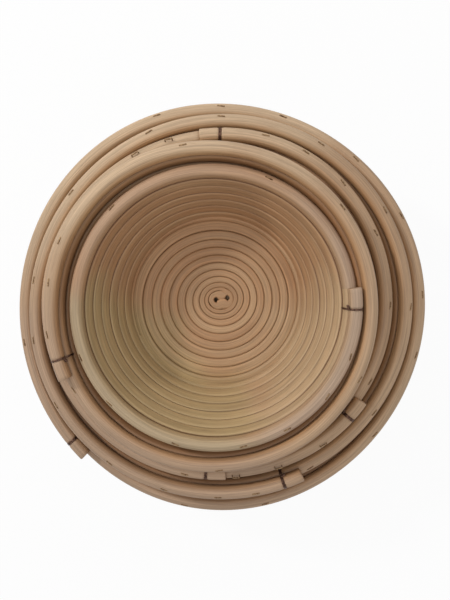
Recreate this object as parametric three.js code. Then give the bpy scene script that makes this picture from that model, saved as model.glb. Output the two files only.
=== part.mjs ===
// Five round bread proofing baskets of coiled cane, standing one inside the other.
// Each is a flat spiral floor, a flared wall of the same coil and a rim turn that ends in a
// square-cut tail held by a twist of wire; small staples sit along the rim.
// Millimetres, +Z up, origin in the middle of the outermost basket's underside.
import * as THREE from 'three';

const CANE_ACROSS = 9.2;
const CANE_ALONG = 8.4;
const TURN_SPACE = 0.75;
const FLOOR_THICKNESS = 9.2;
const FLOOR_CANE_WIDTH = 6.3;
const FLOOR_TURN_SPACE = 0.5;
const FLOOR_START_RADIUS = 4.4;
const FLOOR_EDGE_ROUNDING = 1.2;
const WALL_SLOPE = radians(65.5);
const TOP_SLOPE = radians(80);
const BEND_TURNS = 2;
const REST_GAP = 0.3;
const BUTT_GAP = 0.6;
const FLOOR_EDGE_GAP = 0.5;
const WALL_STEP_FOOT = 1;
const WIRE_DIAMETER = 1.3;
const FITTING_GAP = 0.3;
const WIRE_TO_TAIL_END = 14.5;
const STAPLE_LENGTH = 5;
const STAPLE_WIDTH = 1;
const STAPLE_THICKNESS = 0.6;
const STEPS = 24;

const OUTER_RIM_RADIUS = 145.2;
const BASKET_HEIGHT = 84.5;
const THIRD_BASKET_HEIGHT = BASKET_HEIGHT - 4;
const SMALL_BASKET_HEIGHT = BASKET_HEIGHT - 12;

// One entry per basket, outermost first. "play" is the mean room round a basket inside the one
// that holds it, "closest" the room left on the side it leans to, "lean" that side's direction.
// "end" is where the rim cane ends, "laps" are further cane ends in the same rim turn, and
// "staples" their directions, all in degrees from +X towards +Y.
const BASKETS = [
  {
    name: 'basket_1', height: BASKET_HEIGHT, colour: 0xb08a63, coiledWall: true,
    end: 226.5, laps: [],
    staples: [5.5, 49, 89.9, 107.8, 188.4, 259.2, 321.8],
  },
  {
    name: 'basket_2', height: BASKET_HEIGHT, colour: 0xb58d68, end: 296.3, laps: [],
    play: 3.85, closest: 0.5, lean: 89,
    staples: [31.4, 89.7, 141.8, 189.4, 234.2, 269.3, 326.2],
  },
  {
    name: 'basket_3', height: THIRD_BASKET_HEIGHT, colour: 0xb28b64, end: 327.5, laps: [95.6, 273.2],
    play: 4.3, closest: 1.25, lean: 147,
    staples: [0.9, 44.8, 74, 105.8, 259.2, 291.4, 308.2],
  },
  {
    name: 'basket_4', height: BASKET_HEIGHT, colour: 0xb8946e, end: 205, laps: [],
    play: 3.9, closest: 0.45, lean: 203,
    staples: [38.6, 99.2, 154.6, 188, 210, 272.9, 335.6],
  },
  {
    name: 'basket_5', height: SMALL_BASKET_HEIGHT, colour: 0xc2a47c, coiledWall: true, coiledFloor: true,
    end: 8.5, laps: [],
    play: 2.95, closest: 0.45, lean: 49,
    staples: [66.9, 135.1, 200.4, 254.4, 282.4, 301.7, 340.9],
  },
];

const TURN_PITCH = CANE_ALONG + TURN_SPACE;
const FLOOR_PITCH = FLOOR_CANE_WIDTH + FLOOR_TURN_SPACE;
const BEND_LENGTH = BEND_TURNS * TURN_PITCH;
const FLOOR_SPACING = FLOOR_THICKNESS + REST_GAP;
const FULL_TURN = 2 * Math.PI;
const STEP = FULL_TURN / STEPS;

const WALL_SECTION = [
  [CANE_ACROSS / 2, 0],
  [CANE_ACROSS / 4, CANE_ALONG / 2],
  [-CANE_ACROSS / 4, CANE_ALONG / 2],
  [-CANE_ACROSS / 2, 0],
  [-CANE_ACROSS / 4, -CANE_ALONG / 2],
  [CANE_ACROSS / 4, -CANE_ALONG / 2],
];
const FLOOR_SECTION = [
  [FLOOR_CANE_WIDTH / 2, -FLOOR_THICKNESS / 4],
  [FLOOR_CANE_WIDTH / 2, FLOOR_THICKNESS / 4],
  [0, FLOOR_THICKNESS / 2],
  [-FLOOR_CANE_WIDTH / 2, FLOOR_THICKNESS / 4],
  [-FLOOR_CANE_WIDTH / 2, -FLOOR_THICKNESS / 4],
  [0, -FLOOR_THICKNESS / 2],
];

const CANE_LOWEST = Math.max(...WALL_SECTION.map(
  ([across, along]) => across * Math.cos(WALL_SLOPE) - along * Math.sin(WALL_SLOPE)));
const CANE_INNERMOST = Math.max(...WALL_SECTION.map(
  ([across, along]) => -across * Math.sin(WALL_SLOPE) - along * Math.cos(WALL_SLOPE)));
const WALL_FOOT = REST_GAP + CANE_LOWEST;
const RIM_TOP_REACH = Math.max(...WALL_SECTION.map(
  ([across, along]) => along * Math.sin(TOP_SLOPE) - across * Math.cos(TOP_SLOPE)));
const RIM_SIDE_REACH = Math.max(...WALL_SECTION.map(
  ([across, along]) => across * Math.sin(TOP_SLOPE) + along * Math.cos(TOP_SLOPE)));

function radians(degrees) {
  return degrees * Math.PI / 180;
}

// The wall's middle line in section, by the length below the rim cane's end: steep at the
// rim, easing over the first two turns to the flare of the rest. Radii are from the rim's.
function wallLine(height, below) {
  const turned = Math.min(below, BEND_LENGTH);
  const bend = (WALL_SLOPE - TOP_SLOPE) / BEND_LENGTH;
  const slope = TOP_SLOPE + bend * turned;
  const straight = below - turned;
  const inward = (Math.sin(slope) - Math.sin(TOP_SLOPE)) / bend + straight * Math.cos(slope);
  const down = (Math.cos(TOP_SLOPE) - Math.cos(slope)) / bend + straight * Math.sin(slope);
  return { radius: -RIM_SIDE_REACH - inward, z: height - RIM_TOP_REACH - down, slope };
}

function wallLength(height) {
  const bendEnd = wallLine(height, BEND_LENGTH);
  return BEND_LENGTH + (bendEnd.z - WALL_FOOT) / Math.sin(WALL_SLOPE);
}

// One face of the wall as points [radius, z], outwards or inwards of the middle line.
function wallFace(height, side) {
  const length = wallLength(height);
  const points = [];
  for (let i = 0; i <= 60; i += 1) {
    const { radius, z, slope } = wallLine(height, length * i / 60);
    const offset = side * CANE_ACROSS / 2;
    points.push([radius + offset * Math.sin(slope), z - offset * Math.cos(slope)]);
  }
  return points;
}

function radiusOnFace(points, z) {
  for (let i = 1; i < points.length; i += 1) {
    const [upperRadius, upperZ] = points[i - 1];
    const [lowerRadius, lowerZ] = points[i];
    if (z <= upperZ && z >= lowerZ) {
      const share = (z - lowerZ) / (upperZ - lowerZ);
      return lowerRadius + share * (upperRadius - lowerRadius);
    }
  }
  return null;
}

// A basket's rim radius follows from the one round it: the walls' least distance, less play.
function nestedRimRadius(outer, inner) {
  const holdingFace = wallFace(outer.height, -1);
  const heldFace = wallFace(inner.height, 1);
  let room = Infinity;
  for (const [radius, z] of heldFace) {
    const holding = radiusOnFace(holdingFace, z + FLOOR_SPACING);
    if (holding !== null) room = Math.min(room, outer.rimRadius + holding - radius);
  }
  for (const [radius, z] of holdingFace) {
    const held = radiusOnFace(heldFace, z - FLOOR_SPACING);
    if (held !== null) room = Math.min(room, outer.rimRadius + radius - held);
  }
  return room - inner.play;
}

BASKETS.forEach((basket, i) => {
  const outer = BASKETS[i - 1];
  basket.end = radians(basket.end);
  basket.base = i * FLOOR_SPACING;
  basket.rimRadius = outer ? nestedRimRadius(outer, basket) : OUTER_RIM_RADIUS;
  basket.centre = [0, 0];
  if (outer) {
    const shift = basket.play - basket.closest;
    const lean = radians(basket.lean);
    basket.centre = [
      outer.centre[0] + shift * Math.cos(lean),
      outer.centre[1] + shift * Math.sin(lean),
    ];
  }
  basket.wallStart = basket.end - FULL_TURN * wallLength(basket.height) / TURN_PITCH;
  const foot = wallLine(basket.height, wallLength(basket.height));
  basket.footRadius = basket.rimRadius + foot.radius;
});

// Where the coil stands at a given angle along it: its middle, the direction out through the
// wall and the direction up the wall. Between the facets' corners it runs straight.
function coilCorner(basket, angle) {
  const line = wallLine(basket.height, TURN_PITCH * (basket.end - angle) / FULL_TURN);
  return stand(basket, angle, basket.rimRadius + line.radius, line.z, line.slope);
}

function floorCorner(basket, angle) {
  const turns = (basket.wallStart - angle) / FULL_TURN;
  return stand(basket, angle, floorEndRadius(basket) - FLOOR_PITCH * turns,
    FLOOR_THICKNESS / 2, Math.PI / 2);
}

function stand(basket, angle, radius, z, slope) {
  const x = Math.cos(angle);
  const y = Math.sin(angle);
  return {
    origin: new THREE.Vector3(
      basket.centre[0] + radius * x, basket.centre[1] + radius * y, basket.base + z),
    across: new THREE.Vector3(Math.sin(slope) * x, Math.sin(slope) * y, -Math.cos(slope)),
    along: new THREE.Vector3(Math.cos(slope) * x, Math.cos(slope) * y, Math.sin(slope)),
  };
}

function between(first, second, share) {
  return {
    origin: first.origin.clone().lerp(second.origin, share),
    across: first.across.clone().lerp(second.across, share),
    along: first.along.clone().lerp(second.along, share),
  };
}

function standAt(corner, basket, angle) {
  const step = Math.floor(angle / STEP + 1e-9);
  const share = Math.max(0, angle / STEP - step);
  return between(corner(basket, step * STEP), corner(basket, (step + 1) * STEP), share);
}

function standsAlong(corner, basket, from, to) {
  const stands = [standAt(corner, basket, from)];
  for (let step = Math.floor(from / STEP) + 1; step * STEP < to - 1e-6; step += 1) {
    if (step * STEP > from + 1e-6) stands.push(corner(basket, step * STEP));
  }
  stands.push(standAt(corner, basket, to));
  return stands;
}

// The floor's last turn widens faster than the wall beside it, until the wall has climbed off
// the floor cane's side: the floor is drawn in by the difference.
function floorEndRadius(basket) {
  const innerCorner = WALL_FOOT + CANE_ACROSS / 4 * Math.cos(WALL_SLOPE)
    - CANE_ALONG / 2 * Math.sin(WALL_SLOPE);
  const climb = (FLOOR_THICKNESS * 0.75 - innerCorner) / (TURN_PITCH * Math.sin(WALL_SLOPE));
  const drawnIn = Math.max(0, FLOOR_PITCH - TURN_PITCH * Math.cos(WALL_SLOPE))
    * Math.min(1, Math.max(0, climb));
  return basket.footRadius - CANE_INNERMOST - FLOOR_EDGE_GAP - drawnIn
    - FLOOR_CANE_WIDTH / 2 + FLOOR_PITCH;
}

// A solid is gathered as corner points and the triangles between them.
function newSolid() {
  return { points: [], triangles: [] };
}

function addPoint(solid, point) {
  solid.points.push(point);
  return solid.points.length - 1;
}

function pointIn(place, across, along) {
  return place.origin.clone().addScaledVector(place.across, across)
    .addScaledVector(place.along, along);
}

// A closed bar through a row of stands, with a flat end face at either end.
function addBar(solid, stands, section) {
  const rings = stands.map((place) => section.map(
    ([across, along]) => addPoint(solid, pointIn(place, across, along))));
  for (let i = 1; i < rings.length; i += 1) addBand(solid, rings[i - 1], rings[i]);
  const first = rings[0];
  const last = rings[rings.length - 1];
  for (let j = 1; j < section.length - 1; j += 1) {
    solid.triangles.push([first[0], first[j], first[j + 1]]);
    solid.triangles.push([last[0], last[j + 1], last[j]]);
  }
  return solid;
}

function addBand(solid, ring, next) {
  for (let j = 0; j < ring.length; j += 1) {
    const k = (j + 1) % ring.length;
    solid.triangles.push([ring[j], next[j], next[k]]);
    solid.triangles.push([ring[j], next[k], ring[k]]);
  }
}

function geometryOf(solid) {
  const geometry = new THREE.BufferGeometry();
  const flat = solid.points.flatMap((point) => point.toArray());
  geometry.setAttribute('position', new THREE.Float32BufferAttribute(flat, 3));
  geometry.setIndex(solid.triangles.flat());
  geometry.computeVertexNormals();
  return geometry;
}

// A plain wall whose top follows the underside of the climbing rim turn, with one step in it
// where that turn ends and begins.
function steppedWall(basket) {
  const solid = newSolid();
  const rimHalf = CANE_ALONG / 2 + TURN_SPACE;
  const lowTop = TURN_PITCH + rimHalf;
  const collar = lowTop + WALL_STEP_FOOT;
  const inside = basket.footRadius - CANE_INNERMOST;
  const length = wallLength(basket.height);
  const foot = wallLine(basket.height, length);
  const faceAt = (radius) => foot.z
    + (radius - basket.footRadius + CANE_ACROSS / 2 / Math.sin(WALL_SLOPE)) * Math.tan(WALL_SLOPE);
  const outside = basket.footRadius + CANE_ACROSS / 2 / Math.sin(WALL_SLOPE)
    - (foot.z - REST_GAP) / Math.tan(WALL_SLOPE);

  const atFace = (below, side) => {
    const { radius, z, slope } = wallLine(basket.height, below);
    const offset = side * CANE_ACROSS / 2;
    return [basket.rimRadius + radius + offset * Math.sin(slope), z - offset * Math.cos(slope)];
  };
  const section = (below) => [
    [inside, REST_GAP], [outside, REST_GAP],
    atFace(BEND_LENGTH, 1), atFace(collar, 1), atFace(below, 1),
    atFace(below, -1), atFace(collar, -1), atFace(BEND_LENGTH, -1),
    [inside, faceAt(inside)],
  ];
  const corner = (angle, below) => section(below).map(([radius, z]) => new THREE.Vector3(
    basket.centre[0] + radius * Math.cos(angle),
    basket.centre[1] + radius * Math.sin(angle),
    basket.base + z));
  const topAt = (angle) => rimHalf + TURN_PITCH * (basket.end - angle) / FULL_TURN;
  const ringAt = (angle) => {
    const step = Math.floor(angle / STEP + 1e-9);
    const share = Math.max(0, angle / STEP - step);
    const first = corner(step * STEP, topAt(angle));
    const second = corner((step + 1) * STEP, topAt(angle));
    return first.map((point, j) => point.lerp(second[j], share));
  };

  const start = basket.end - FULL_TURN;
  const angles = [start];
  for (let step = Math.floor(start / STEP) + 1; step * STEP < basket.end - 1e-6; step += 1) {
    angles.push(step * STEP);
  }
  const rings = angles.map((angle) => ringAt(angle).map((point) => addPoint(solid, point)));
  for (let i = 1; i < rings.length; i += 1) addBand(solid, rings[i - 1], rings[i]);

  const before = rings[rings.length - 1];
  const low = rings[0];
  const highPoints = ringAt(basket.end);
  const highOut = addPoint(solid, highPoints[4]);
  const highIn = addPoint(solid, highPoints[5]);
  for (let j = 0; j < low.length; j += 1) {
    const k = (j + 1) % low.length;
    if (j < 3 || j > 5) {
      solid.triangles.push([before[j], low[j], low[k]]);
      solid.triangles.push([before[j], low[k], before[k]]);
    }
  }
  solid.triangles.push([before[3], low[3], low[4]], [before[3], low[4], before[4]]);
  solid.triangles.push([before[4], low[4], highOut]);
  solid.triangles.push([before[4], highOut, highIn], [before[4], highIn, before[5]]);
  solid.triangles.push([before[5], highIn, low[5]]);
  solid.triangles.push([before[5], low[5], low[6]], [before[5], low[6], before[6]]);
  solid.triangles.push([low[4], low[5], highIn], [low[4], highIn, highOut]);
  return solid;
}

function floorDisc(basket) {
  const radius = basket.footRadius - CANE_INNERMOST - FLOOR_EDGE_GAP;
  const profile = [
    [0, 0], [radius - FLOOR_EDGE_ROUNDING, 0], [radius, FLOOR_EDGE_ROUNDING],
    [radius, FLOOR_THICKNESS - FLOOR_EDGE_ROUNDING],
    [radius - FLOOR_EDGE_ROUNDING, FLOOR_THICKNESS], [0, FLOOR_THICKNESS],
  ].map(([x, y]) => new THREE.Vector2(x, y));
  const disc = new THREE.LatheGeometry(profile, STEPS);
  disc.rotateX(Math.PI / 2);
  disc.translate(basket.centre[0], basket.centre[1], basket.base);
  return disc;
}

// A wire twist over the rim cane: up one side, across the top and down the other.
function addWire(solid, basket, angle) {
  const place = standAt(coilCorner, basket, angle);
  const reach = FITTING_GAP + WIRE_DIAMETER / 2;
  const path = [
    [-CANE_ACROSS * 0.375, -CANE_ALONG / 4],
    [-CANE_ACROSS / 2, 0],
    [-CANE_ACROSS / 4, CANE_ALONG / 2],
    [CANE_ACROSS / 4, CANE_ALONG / 2],
    [CANE_ACROSS / 2, 0],
    [CANE_ACROSS * 0.375, -CANE_ALONG / 4],
  ].map(([x, y]) => new THREE.Vector2(x, y));
  const stands = path.map((point, i) => {
    const ahead = (path[i + 1] ?? point).clone().sub(point);
    const behind = point.clone().sub(path[i - 1] ?? point);
    if (i === 0) behind.copy(ahead);
    if (i === path.length - 1) ahead.copy(behind);
    const direction = ahead.normalize().add(behind.normalize());
    const mitre = 2 / direction.length();
    direction.normalize();
    const normal = new THREE.Vector2(-direction.y, direction.x);
    const middle = point.clone().addScaledVector(normal, reach * mitre);
    const inPlace = (v) => place.across.clone().multiplyScalar(v.x)
      .addScaledVector(place.along, v.y).normalize();
    const across = inPlace(normal);
    return {
      origin: pointIn(place, middle.x, middle.y),
      along: across.clone().cross(inPlace(direction)).normalize(),
      across: across.multiplyScalar(mitre),
    };
  });
  addBar(solid, stands, roundSection(WIRE_DIAMETER, 6));
}

function roundSection(diameter, sides) {
  return Array.from({ length: sides }, (_, j) => {
    const turn = FULL_TURN * (j + 0.5) / sides;
    return [Math.cos(turn) * diameter / 2, Math.sin(turn) * diameter / 2];
  });
}

// A staple's crown, lying along the cane on its top, a little outwards of the middle.
function addStaple(solid, basket, angle) {
  const place = standAt(coilCorner, basket, angle);
  const step = Math.floor(angle / STEP + 1e-9);
  const lengthwise = coilCorner(basket, (step + 1) * STEP).origin
    .sub(coilCorner(basket, step * STEP).origin).normalize();
  const lift = FITTING_GAP + STAPLE_THICKNESS / 2;
  const origin = pointIn(place, CANE_ACROSS / 8, CANE_ALONG / 2 + lift);
  const across = place.along.clone().addScaledVector(lengthwise, -place.along.dot(lengthwise))
    .normalize();
  const along = across.clone().cross(lengthwise).normalize();
  const stands = [-0.5, 0.5].map((end) => ({
    origin: origin.clone().addScaledVector(lengthwise, end * STAPLE_LENGTH), across, along,
  }));
  const thick = STAPLE_THICKNESS / 2;
  const wide = STAPLE_WIDTH / 2;
  addBar(solid, stands, [[thick, -wide], [thick, wide], [-thick, wide], [-thick, -wide]]);
}

function turnAtRim(basket, degrees) {
  const start = basket.end - FULL_TURN;
  const past = (radians(degrees) - start) % FULL_TURN;
  return start + (past + FULL_TURN) % FULL_TURN;
}

// The least distance between turns of one coil, taken between corner points and the edges of
// the turns before them at the same step.
function leastGap(corner, basket, from, to, section) {
  let least = Infinity;
  for (let step = Math.ceil(from / STEP); (step + STEPS) * STEP <= to; step += 1) {
    const lower = corner(basket, step * STEP);
    const upper = corner(basket, (step + STEPS) * STEP);
    const lowerRing = section.map(([a, b]) => pointIn(lower, a, b));
    const upperRing = section.map(([a, b]) => pointIn(upper, a, b));
    for (const [points, ring] of [[upperRing, lowerRing], [lowerRing, upperRing]]) {
      for (const point of points) {
        for (let j = 0; j < ring.length; j += 1) {
          const edge = new THREE.Line3(ring[j], ring[(j + 1) % ring.length]);
          const nearest = edge.closestPointToPoint(point, true, new THREE.Vector3());
          least = Math.min(least, nearest.distanceTo(point));
        }
      }
    }
  }
  return least;
}

const nest = new THREE.Group();
nest.name = 'bread_proofing_baskets';

function addNode(name, geometry, colour, metalness, roughness) {
  const material = new THREE.MeshStandardMaterial({ color: colour, metalness, roughness });
  material.name = name;
  const mesh = new THREE.Mesh(geometry, material);
  mesh.name = name;
  nest.add(mesh);
}

for (const basket of BASKETS) {
  const cane = (name, geometry) => addNode(name, geometry, basket.colour, 0, 0.6);
  const steel = (name, geometry) => addNode(name, geometry, 0x5b5c5f, 0.9, 0.4);
  const rimStart = basket.end - FULL_TURN;
  const buttTurn = BUTT_GAP / basket.rimRadius;

  if (basket.coiledFloor) {
    const turns = (floorEndRadius(basket) - FLOOR_START_RADIUS) / FLOOR_PITCH;
    const start = basket.wallStart - turns * FULL_TURN;
    const stop = basket.wallStart - BUTT_GAP / basket.footRadius;
    const stands = standsAlong(floorCorner, basket, start, stop);
    cane(`${basket.name}_floor_coil`, geometryOf(addBar(newSolid(), stands, FLOOR_SECTION)));
    const gap = leastGap(floorCorner, basket, start, stop, FLOOR_SECTION);
    console.log(`${basket.name} floor: ${turns.toFixed(2)} loops, least gap ${gap.toFixed(2)} mm`);
  } else {
    cane(`${basket.name}_floor_coil`, floorDisc(basket));
  }

  if (basket.coiledWall) {
    const stands = standsAlong(coilCorner, basket, basket.wallStart, rimStart - buttTurn);
    cane(`${basket.name}_wall_coil`, geometryOf(addBar(newSolid(), stands, WALL_SECTION)));
    const loops = (rimStart - basket.wallStart) / FULL_TURN;
    const gap = leastGap(coilCorner, basket, basket.wallStart, rimStart, WALL_SECTION);
    console.log(`${basket.name} wall: ${loops.toFixed(2)} loops, least gap ${gap.toFixed(2)} mm`);
  } else {
    cane(`${basket.name}_wall_coil`, geometryOf(steppedWall(basket)));
  }

  const lapEnds = basket.laps.map((lap) => turnAtRim(basket, lap));
  const ends = [...lapEnds, basket.end];
  let from = rimStart;
  ends.forEach((end, i) => {
    const suffix = ends.length > 1 ? `_${i + 1}` : '';
    const stands = standsAlong(coilCorner, basket, from, end - (end < basket.end ? buttTurn : 0));
    cane(`${basket.name}_rim_cane${suffix}`, geometryOf(addBar(newSolid(), stands, WALL_SECTION)));
    from = end;
  });

  ends.forEach((end, i) => {
    const suffix = ends.length > 1 ? `_${i + 1}` : '';
    const wire = newSolid();
    addWire(wire, basket, end - WIRE_TO_TAIL_END / basket.rimRadius);
    steel(`${basket.name}_tie_wire${suffix}`, geometryOf(wire));
  });

  basket.staples.forEach((direction, i) => {
    const staple = newSolid();
    addStaple(staple, basket, turnAtRim(basket, direction));
    steel(`${basket.name}_staple_${i + 1}`, geometryOf(staple));
  });

  console.log(`${basket.name}: rim radius ${basket.rimRadius.toFixed(2)}, foot radius`
    + ` ${basket.footRadius.toFixed(2)}, rim top ${(basket.base + basket.height).toFixed(1)}`
    + `, centre ${basket.centre.map((v) => v.toFixed(2)).join(' ')}`);
}

export default nest;
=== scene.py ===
# %% [markdown]
# # A nest of cane proofing baskets
# Five round baskets for proving bread dough stand one inside the other. Each is wound from
# rattan cane: a flat spiral makes the floor, the same cane climbs on as the wall, and its last
# turn is the rim. The solids that come with the model give every size and place. This lesson
# winds the real canes over them, each as one tube along its own curve, and then gives them
# their wood, their wires and their staples.

# %% Load the solids
import math
import bpy
import mathutils
import numpy as np
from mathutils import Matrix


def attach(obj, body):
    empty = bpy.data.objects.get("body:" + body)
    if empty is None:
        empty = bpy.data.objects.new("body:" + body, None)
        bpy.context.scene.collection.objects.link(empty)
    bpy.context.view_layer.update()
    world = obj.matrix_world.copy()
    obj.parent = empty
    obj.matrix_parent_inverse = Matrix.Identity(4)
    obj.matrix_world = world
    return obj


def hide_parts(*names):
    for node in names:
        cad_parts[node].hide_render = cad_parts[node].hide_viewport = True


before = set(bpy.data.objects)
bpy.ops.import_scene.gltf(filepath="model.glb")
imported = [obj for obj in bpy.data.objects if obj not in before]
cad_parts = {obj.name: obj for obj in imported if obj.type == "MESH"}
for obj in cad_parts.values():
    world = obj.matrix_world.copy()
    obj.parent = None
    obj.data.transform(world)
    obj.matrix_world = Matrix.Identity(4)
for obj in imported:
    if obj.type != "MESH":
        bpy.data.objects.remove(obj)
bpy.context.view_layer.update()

# %% [markdown]
# The measures below are the ones the solids were made from, in millimetres. A maker needs only
# a few: how thick the cane is, how far apart two turns lie, and how steep the wall stands at
# the foot and at the rim. The middle of the rim cane lies about half a cane inside the basket's
# full width and below its full height, and the middle of the lowest wall turn as far up.

# %% Measures of the cane and the wall
MM = 0.001
TURN = 2 * math.pi
CANE_ACROSS = 9.2
CANE_ALONG = 9.1
TURN_PITCH = 9.15
FLOOR_HEIGHT = 9.2
FLOOR_SPACING = 9.5
WALL_SLOPE = math.radians(65.5)
TOP_SLOPE = math.radians(80)
BEND_LENGTH = 2 * TURN_PITCH
RIM_IN = 4.53
RIM_DOWN = 4.54
WALL_FOOT = 5.08
print("turns lie", TURN_PITCH, "mm apart up the wall")

# %% [markdown]
# The baskets differ in size, and hand-bent cane is never quite round. "rim" is the radius over
# the rim cane, and "outline" how far the rim wanders from that circle, as pairs of cosine and
# sine waves with one, two, three and four humps round it. "end" is the direction in which the
# rim cane stops, in degrees, and "laps" are two more ends in the third basket's rim, which was
# finished with short lengths. "staples" are the directions in which a staple shows.

# %% The five baskets
BASKETS = {
    1: dict(rim=145.20, height=84.5, centre=(0.0, 0.0), end=226.5, laps=[],
            outline=[0, 0.01, -1.32, 0.29, 0.73, 0.57, 0.14, 0.18],
            staples=[5.5, 28.6, 49, 72.5, 89.9, 107.8, 188.4, 259.2, 283, 321.8, 348]),
    2: dict(rim=134.12, height=84.5, centre=(0.06, 3.35), end=296.3, laps=[],
            outline=[0, 0.03, 0.14, 1.2, 0.13, -0.38, 0, 0.04],
            staples=[1, 31.4, 58.8, 89.7, 111.8, 141.8, 171, 189.4, 210.3, 234.2, 252.6,
                     269.3, 281, 299.4, 326.2]),
    3: dict(rim=121.55, height=80.5, centre=(-2.50, 5.01), end=327.5, laps=[95.6, 273.2],
            outline=[0.85, 1.31, 0.26, 0.72, -0.37, -0.22, 0.02, -0.19],
            staples=[0.9, 25.4, 44.8, 60.2, 74, 105.8, 117.8, 259.2, 276.7, 291.4, 308.2,
                     334.4]),
    4: dict(rim=111.69, height=84.5, centre=(-5.68, 3.66), end=205.0, laps=[],
            outline=[-0.01, 0.2, -0.42, 0.07, 0.32, 0.04, -0.45, 0.02],
            staples=[38.6, 99.2, 154.6, 169.6, 188, 210, 272.9, 335.6]),
    5: dict(rim=97.50, height=72.5, centre=(-4.04, 5.55), end=8.5, laps=[],
            outline=[0.1, 0.2, 0.45, 0.05, 0.22, 0.16, 0.01, 0.16],
            staples=[66.9, 135.1, 200.4, 222.4, 254.4, 282.4, 301.7, 322.6, 340.9]),
}
INNERMOST = 5
for number, basket in BASKETS.items():
    basket["number"] = number
    basket["name"] = f"basket_{number}"
    basket["base"] = (number - 1) * FLOOR_SPACING
    basket["end"] = math.radians(basket["end"])
    print(basket["name"], "is", round(2 * basket["rim"]), "mm across")

# %% [markdown]
# Seen in section, the middle of the cane climbs a line that is steep at the rim, bends over the
# first two turns and then runs straight down to the foot. Points picked by hand would do for
# one basket. Measuring along the line from the rim's end tells how far down any turn is, so one
# formula gives the wall and the rim of all five.


# %% The wall's line in section
def wall_line(height, below):
    turned = np.minimum(below, BEND_LENGTH)
    bend = (WALL_SLOPE - TOP_SLOPE) / BEND_LENGTH
    slope = TOP_SLOPE + bend * turned
    straight = below - turned
    inward = (np.sin(slope) - np.sin(TOP_SLOPE)) / bend + straight * np.cos(slope)
    down = (np.cos(TOP_SLOPE) - np.cos(slope)) / bend + straight * np.sin(slope)
    return -RIM_IN - inward, height - RIM_DOWN - down, slope


for basket in BASKETS.values():
    bend_end = wall_line(basket["height"], np.array(BEND_LENGTH))[1]
    basket["length"] = BEND_LENGTH + (bend_end - WALL_FOOT) / math.sin(WALL_SLOPE)
    basket["start"] = basket["end"] - TURN * basket["length"] / TURN_PITCH
    foot = wall_line(basket["height"], np.array(basket["length"]))[0]
    basket["foot"] = basket["rim"] + float(foot)
    print(basket["name"], "stands on a ring of", round(basket["foot"], 1), "mm")

# %% [markdown]
# A real coil also wavers a little, because the cane is bent wet and pulled by hand. A few slow
# waves along the cane do this better than noise: they never kink. The random numbers come from
# a fixed seed for each basket, so that the coil is the same every time.

# %% Slow waves along a cane
WAVES_PER_TURN = (0.37, 0.83, 1.61, 2.43, 3.71)
WAVES_TOGETHER = 2.2
WAVER_SEED = 40
WALL_WAVER = 0.12
FLOOR_WAVER = 0.1


def smooth(low, high, value):
    share = np.clip((value - low) / (high - low), 0, 1)
    return share * share * (3 - 2 * share)


def waver(number, angle, size):
    rng = np.random.default_rng(WAVER_SEED + number)
    total = np.zeros_like(angle)
    for waves in WAVES_PER_TURN:
        total += np.sin(waves * angle + rng.uniform(0, TURN)) / math.sqrt(waves + 0.5)
    return size * total / WAVES_TOGETHER


print("waver in mm at four places:", waver(1, np.array([0.0, 2.0, 4.0, 6.0]), WALL_WAVER).round(3))

# %% [markdown]
# `coil_stand` answers one question for any angle along the coil: where is the cane's middle,
# which way is out through the wall, and which way is up the wall. The walls, the rims, their
# wires and their staples are all placed with it, so they can't drift apart.


# %% Where the coil stands at an angle
def rim_rounding(basket, angle):
    waves = basket["outline"]
    return sum(waves[2 * k] * np.cos((k + 1) * angle) + waves[2 * k + 1] * np.sin((k + 1) * angle)
               for k in range(4))


def coil_stand(basket, angle, lowered=0.0):
    angle = np.atleast_1d(np.asarray(angle, float))
    below = TURN_PITCH * (basket["end"] - angle) / TURN + lowered
    inward, z, slope = wall_line(basket["height"], below)
    fade = np.clip(1 - below / basket["length"], 0, 1)
    radius = (basket["rim"] + inward + rim_rounding(basket, angle) * fade
              + waver(basket["number"], angle, WALL_WAVER))
    cos, sin = np.cos(angle), np.sin(angle)
    centre_x, centre_y = basket["centre"]
    middle = np.stack([centre_x + radius * cos, centre_y + radius * sin, basket["base"] + z], 1)
    across = np.stack([np.sin(slope) * cos, np.sin(slope) * sin, -np.cos(slope)], 1)
    along = np.stack([np.cos(slope) * cos, np.cos(slope) * sin, np.sin(slope)], 1)
    return middle, across, along


top, _, _ = coil_stand(BASKETS[1], BASKETS[1]["end"])
print("the outer rim ends at", top[0].round(1), "mm")

# %% [markdown]
# Canes, wires and staples are all tubes: rings of points, one after the other, joined by
# four-sided faces. Two small helpers do that for all of them.


# %% Faces of a tube, and a piece made of them
def tube_faces(rows, sides):
    k = np.arange(sides)
    following = (k + 1) % sides
    here = np.arange(rows - 1)[:, None] * sides
    there = here + sides
    faces = np.stack([here + k, here + following, there + following, there + k], -1)
    return faces.reshape(-1, 4).tolist()


def mesh_piece(name, points, faces, soft_shading=True):
    mesh = bpy.data.meshes.new(name)
    mesh.from_pydata((points * MM).tolist(), [], faces)
    mesh.validate()
    mesh.polygons.foreach_set("use_smooth", np.full(len(mesh.polygons), soft_shading))
    piece = bpy.data.objects.new(name, mesh)
    bpy.context.scene.collection.objects.link(piece)
    return piece


print("a tube of 3 rings with 8 sides has", len(tube_faces(3, 8)), "faces")

# %% [markdown]
# A cane's section is slightly squarer than an ellipse, because rattan flattens where turns press
# on each other. "fullness" is the power that says how square: 2 is an ellipse, and a large
# number is nearly a box with round corners. More points lie near the corners, which bend most.
# At a cut end the last ring steps in a little, as a knife or sandpaper leaves it.

# %% The cane's section and its cut ends
QUARTER = np.radians([0, 17, 31, 40, 50, 59, 73])
SECTION = np.concatenate([QUARTER + quarter * TURN / 4 for quarter in range(4)])
SIDES = len(SECTION)
ROUND_FULLNESS = 2.3
CUT_STEP_IN = 0.6
CUT_LENGTH = 0.5


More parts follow.
